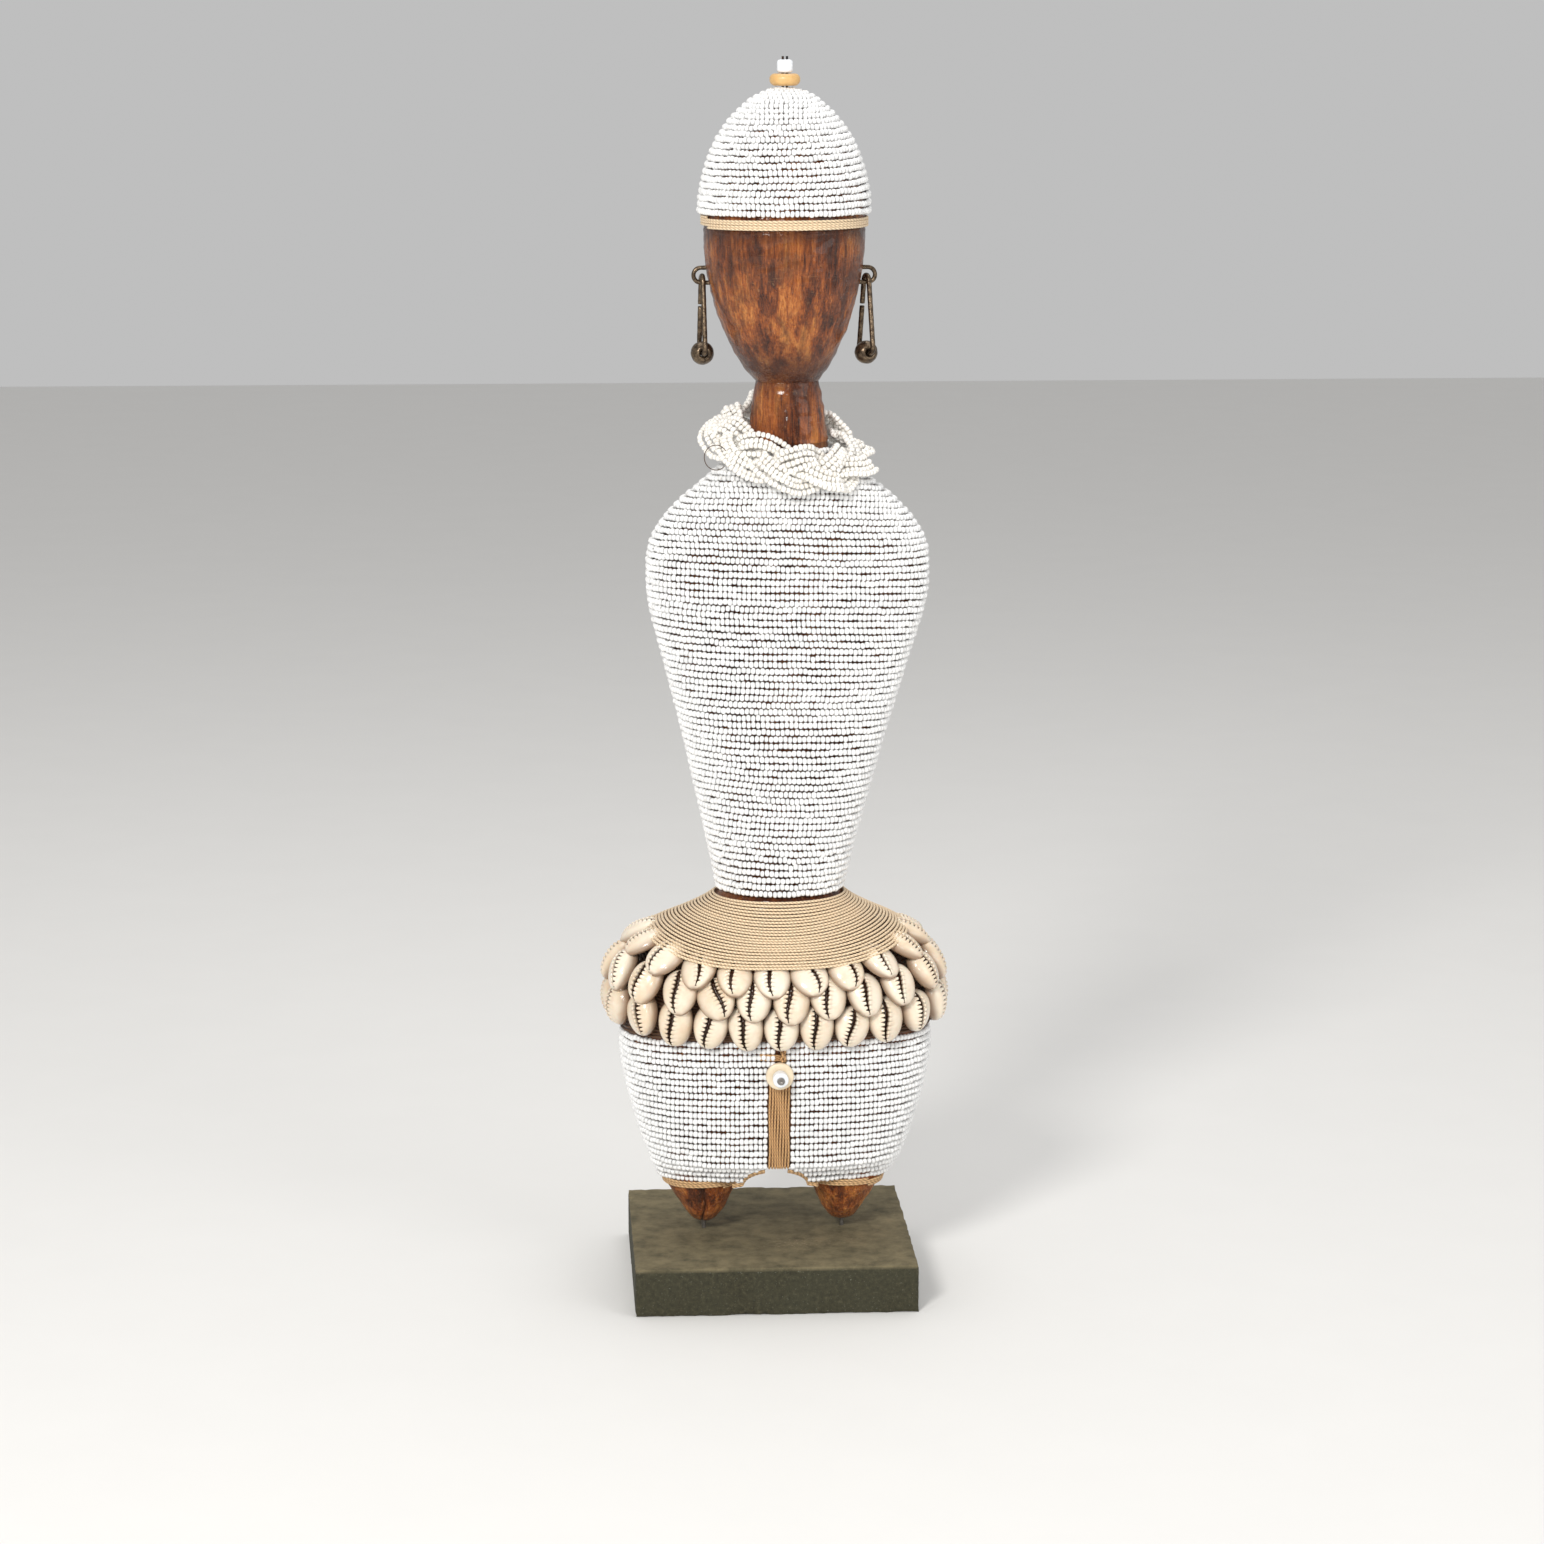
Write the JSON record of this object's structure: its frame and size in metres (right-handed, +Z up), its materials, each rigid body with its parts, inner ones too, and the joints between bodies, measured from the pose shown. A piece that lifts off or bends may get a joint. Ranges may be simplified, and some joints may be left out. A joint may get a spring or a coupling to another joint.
{
  "type": "beaded doll figure",
  "caption": "Standing carved wooden doll wound with white seed beads, with cowrie shells round the hips, plaited bead necklace, wire earrings and a stone base.",
  "frame": {"origin": "on the ground, under the middle of the whole object's box", "axes": "+Z up from the ground to the crown, front faces -Y, +X to the right as seen from the front"},
  "size_m": [0.1547, 0.12, 0.54],
  "materials": {
    "stone": "sawn dark olive-grey stone, dusty, with pale specks",
    "pin_steel": "dull steel wire",
    "carved_wood": "carved reddish-brown wood, varnished",
    "seed_beads": "small white glass beads, glossy",
    "strip_cord": "brown-tan twisted cord",
    "tan_cord": "tan twisted cord, wound tight",
    "cream_disc": "cream shell disc, satin",
    "barrel_bead": "white glass bead, glossy",
    "dark_cord": "dark brown cord",
    "cowrie": "polished cowrie shell, glossy",
    "necklace_beads": "small off-white glass beads, glossy",
    "dark_bronze": "dark aged bronze wire",
    "black_wire": "black iron wire",
    "amber_disc": "amber-tan disc bead, satin"
  },
  "bodies": {
    "root": {"stone_base": "stone", "mounting_pin_left": "pin_steel", "mounting_pin_right": "pin_steel", "carved_figure": "carved_wood", "hip_bead_winding_left": "seed_beads", "hip_bead_winding_right": "seed_beads", "front_cord_strip": "strip_cord", "back_cord_strip": "strip_cord", "leg_cuff_left": "tan_cord", "leg_cuff_right": "tan_cord", "front_button_pin": "pin_steel", "shell_bed_cord": "dark_cord", "cowries_lower_row": "cowrie", "cowries_middle_row": "cowrie", "cowries_upper_row": "cowrie", "waist_cord_skirt": "tan_cord", "torso_bead_winding": "seed_beads", "cap_bead_winding": "seed_beads", "cap_band_cord": "tan_cord", "ear_staple_left": "dark_bronze", "ear_staple_right": "dark_bronze", "finial_wire": "black_wire"},
    "necklace": {"necklace_bundle_1": "necklace_beads", "necklace_bundle_2": "necklace_beads", "necklace_bundle_3": "necklace_beads"},
    "left_hoop": {"earring_hoop_left": "dark_bronze"},
    "left_ear_bead": {"earring_bead_left": "dark_bronze"},
    "right_hoop": {"earring_hoop_right": "dark_bronze"},
    "right_ear_bead": {"earring_bead_right": "dark_bronze"},
    "crown_disc": {"finial_disc_bead": "amber_disc"},
    "crown_barrel": {"finial_barrel_bead": "barrel_bead"},
    "button_disc": {"front_button_disc": "cream_disc"},
    "button_barrel": {"front_button_barrel": "barrel_bead"}
  },
  "joints": [
    {"name": "necklace_lift", "type": "slide", "parent": "root", "child": "necklace", "axis": [0, 0, 1], "range_m": [0, 0.004]},
    {"name": "left_earring_swing", "type": "hinge", "parent": "root", "child": "left_hoop", "pos_m": [-0.0314, 0, 0.4442], "axis": [1, 0, 0], "range_deg": [-60, 60]},
    {"name": "left_ear_bead_spin", "type": "hinge", "parent": "left_hoop", "child": "left_ear_bead", "pos_m": [-0.0314, 0, 0.41403], "axis": [0.1219, -0.9925, 0], "continuous": true},
    {"name": "right_earring_swing", "type": "hinge", "parent": "root", "child": "right_hoop", "pos_m": [0.0394, 0, 0.4442], "axis": [1, 0, 0], "range_deg": [-60, 60]},
    {"name": "right_ear_bead_spin", "type": "hinge", "parent": "right_hoop", "child": "right_ear_bead", "pos_m": [0.0394, 0, 0.41403], "axis": [0.309, -0.9511, 0], "continuous": true},
    {"name": "crown_disc_spin", "type": "hinge", "parent": "root", "child": "crown_disc", "pos_m": [0.0042, 0, 0.5305], "axis": [0, 0, 1], "continuous": true},
    {"name": "crown_barrel_spin", "type": "hinge", "parent": "root", "child": "crown_barrel", "pos_m": [0.0042, 0, 0.5362], "axis": [0, 0, 1], "continuous": true},
    {"name": "button_disc_spin", "type": "hinge", "parent": "root", "child": "button_disc", "pos_m": [0, -0.0357, 0.101], "axis": [0, -1, 0], "continuous": true},
    {"name": "button_barrel_spin", "type": "hinge", "parent": "root", "child": "button_barrel", "pos_m": [0, -0.0405, 0.101], "axis": [0, -1, 0], "continuous": true}
  ]
}
